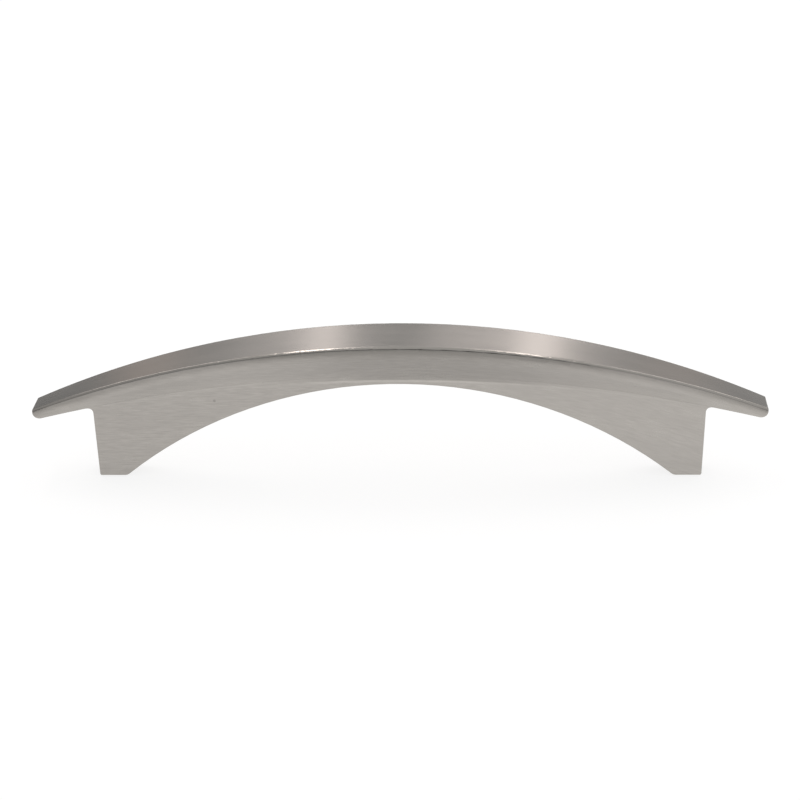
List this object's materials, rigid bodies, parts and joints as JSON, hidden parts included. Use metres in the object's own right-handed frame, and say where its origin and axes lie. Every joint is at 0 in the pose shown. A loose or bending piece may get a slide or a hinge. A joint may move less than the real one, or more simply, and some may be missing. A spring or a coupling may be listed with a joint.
{
  "type": "arched bar pull",
  "caption": "Arched cabinet pull cast in one piece: a bowed, boat-shaped band flaring from a narrow web with tapped feet, screwed to a drawer or door front.",
  "frame": {"origin": "on the mounting face, midway between the two screw holes", "axes": "+X along the pull, +Y across it, +Z away from the mounting face"},
  "size_m": [0.1626, 0.016, 0.0321],
  "materials": {
    "satin_nickel": "satin nickel plate on die-cast zinc, brushed along the length"
  },
  "bodies": {
    "root": {"pull": "satin_nickel"}
  },
  "joints": []
}
